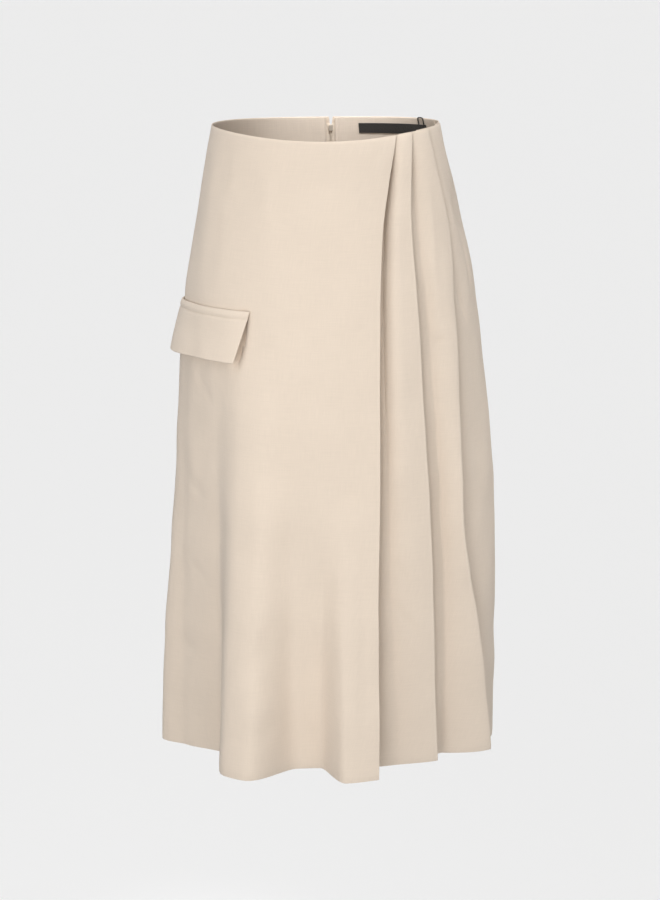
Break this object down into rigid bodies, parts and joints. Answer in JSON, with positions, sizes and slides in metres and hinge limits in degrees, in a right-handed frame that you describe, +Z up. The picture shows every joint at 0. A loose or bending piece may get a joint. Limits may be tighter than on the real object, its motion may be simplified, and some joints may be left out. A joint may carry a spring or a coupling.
{
  "type": "pleated midi skirt",
  "caption": "Midi skirt with a lapped smooth front panel, knife pleats on one side, a pocket flap on the other hip and a centre-back zip, filled out as if worn.",
  "frame": {"origin": "middle of the waist opening, level with the waist's edge at the sides", "axes": "+Z up out of the waist, the front faces -Y and the wearer's left side is +X"},
  "size_m": [0.416, 0.3201, 0.7732],
  "materials": {
    "twill": "matte ecru cotton twill with a fine slub",
    "facing": "matte wrong side of the same twill",
    "zip_tape": "matte woven tape",
    "zip_metal": "satin ivory paint",
    "label": "matte black woven satin",
    "cord": "matte black cord"
  },
  "bodies": {
    "skirt": {"front_panel": "twill", "back_panel_flap_side": "twill", "back_panel_pleat_side": "twill", "pocket_flap": "twill", "back_facing_flap_side": "facing", "back_facing_pleat_side": "facing", "zip_tape_flap_side": "zip_tape", "zip_tape_pleat_side": "zip_tape", "zip_slider": "zip_metal", "waist_label": "label", "hanger_loop": "cord"},
    "pull": {"zip_pull": "zip_metal"}
  },
  "joints": [
    {"name": "pull_swing", "type": "hinge", "parent": "skirt", "child": "pull", "pos_m": [0.00614, 0.09716, -0.01559], "axis": [0.9996, -0.0299, 0], "range_deg": [0, 150]}
  ]
}
